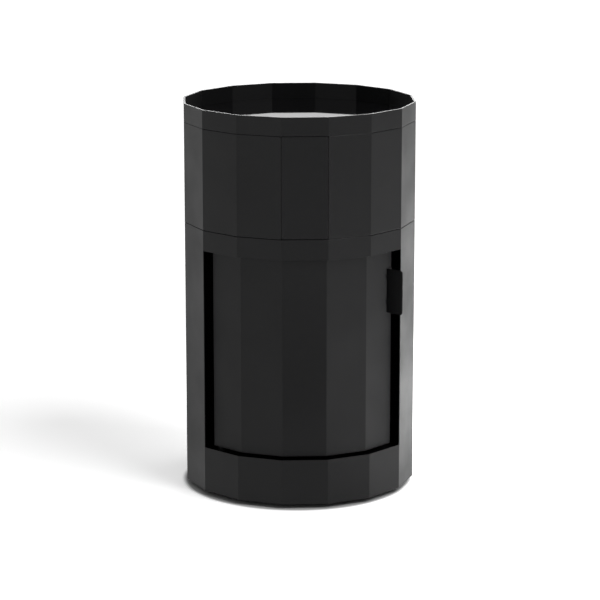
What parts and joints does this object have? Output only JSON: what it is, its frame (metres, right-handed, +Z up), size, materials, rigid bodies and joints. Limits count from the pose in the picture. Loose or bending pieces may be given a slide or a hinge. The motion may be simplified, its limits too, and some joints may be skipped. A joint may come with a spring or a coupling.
{
  "type": "side cabinet",
  "caption": "Faceted sheet-steel side cabinet with a tray top, a hinged front door with a fin handle and a narrow push-to-open drawer.",
  "frame": {"origin": "on the floor, on the drum's axis", "axes": "+Z up, the drawer front and the middle of the door face -Y, +X to the right seen from the front"},
  "size_m": [0.353, 0.353, 0.6],
  "materials": {
    "powder_coat": "satin black powder coat on folded steel sheet",
    "pane_glass": "polished black glass, painted on its back",
    "zinc_steel": "zinc-plated steel",
    "black_rivet": "black coated steel",
    "black_nylon": "moulded nylon",
    "white_acetal": "machined acetal",
    "magnet_steel": "nickel-plated pole steel",
    "foot_plastic": "moulded polypropylene"
  },
  "bodies": {
    "carcass": {"cabinet_shell": "powder_coat", "floor_pan": "powder_coat", "ceiling_pan": "powder_coat", "drum_shell": "powder_coat", "drum_floor": "powder_coat", "rim_ring": "powder_coat", "drawer_guide_left": "powder_coat", "drawer_guide_right": "powder_coat", "top_pane": "pane_glass", "rim_nuts": "zinc_steel", "module_screws": "zinc_steel", "module_nuts": "zinc_steel", "glide_nuts": "zinc_steel", "stop_screws": "zinc_steel", "guide_screws": "zinc_steel", "latch_screws": "zinc_steel", "catch_screws": "zinc_steel", "lower_pivot_bush": "black_nylon", "upper_pivot_bush": "black_nylon", "catch_housing": "black_nylon", "latch_housing": "black_nylon", "catch_magnet": "magnet_steel", "glide_front_left": "foot_plastic", "glide_front_right": "foot_plastic", "glide_back_left": "foot_plastic", "glide_back_right": "foot_plastic"},
    "door": {"door_panel": "powder_coat", "lower_pivot_pin": "zinc_steel", "upper_pivot_pin": "zinc_steel", "door_handle": "powder_coat", "handle_rivets": "black_rivet"},
    "drawer": {"drawer_front": "powder_coat", "drawer_box": "powder_coat", "front_nuts": "zinc_steel", "bar_screws": "zinc_steel", "glide_bar_left": "white_acetal", "glide_bar_right": "white_acetal"},
    "plunger": {"latch_plunger": "magnet_steel"}
  },
  "joints": [
    {"name": "door_hinge", "type": "hinge", "parent": "carcass", "child": "door", "pos_m": [-0.12311, -0.10138, 0.2315], "axis": [0, 0, -1], "range_deg": [0, 110]},
    {"name": "drawer_slide", "type": "slide", "parent": "carcass", "child": "drawer", "axis": [0, -1, 0], "range_m": [0, 0.17]},
    {"name": "plunger_press", "type": "slide", "parent": "carcass", "child": "plunger", "axis": [0, 1, 0], "range_m": [0, 0.003], "stiffness_N_per_m": 300}
  ]
}
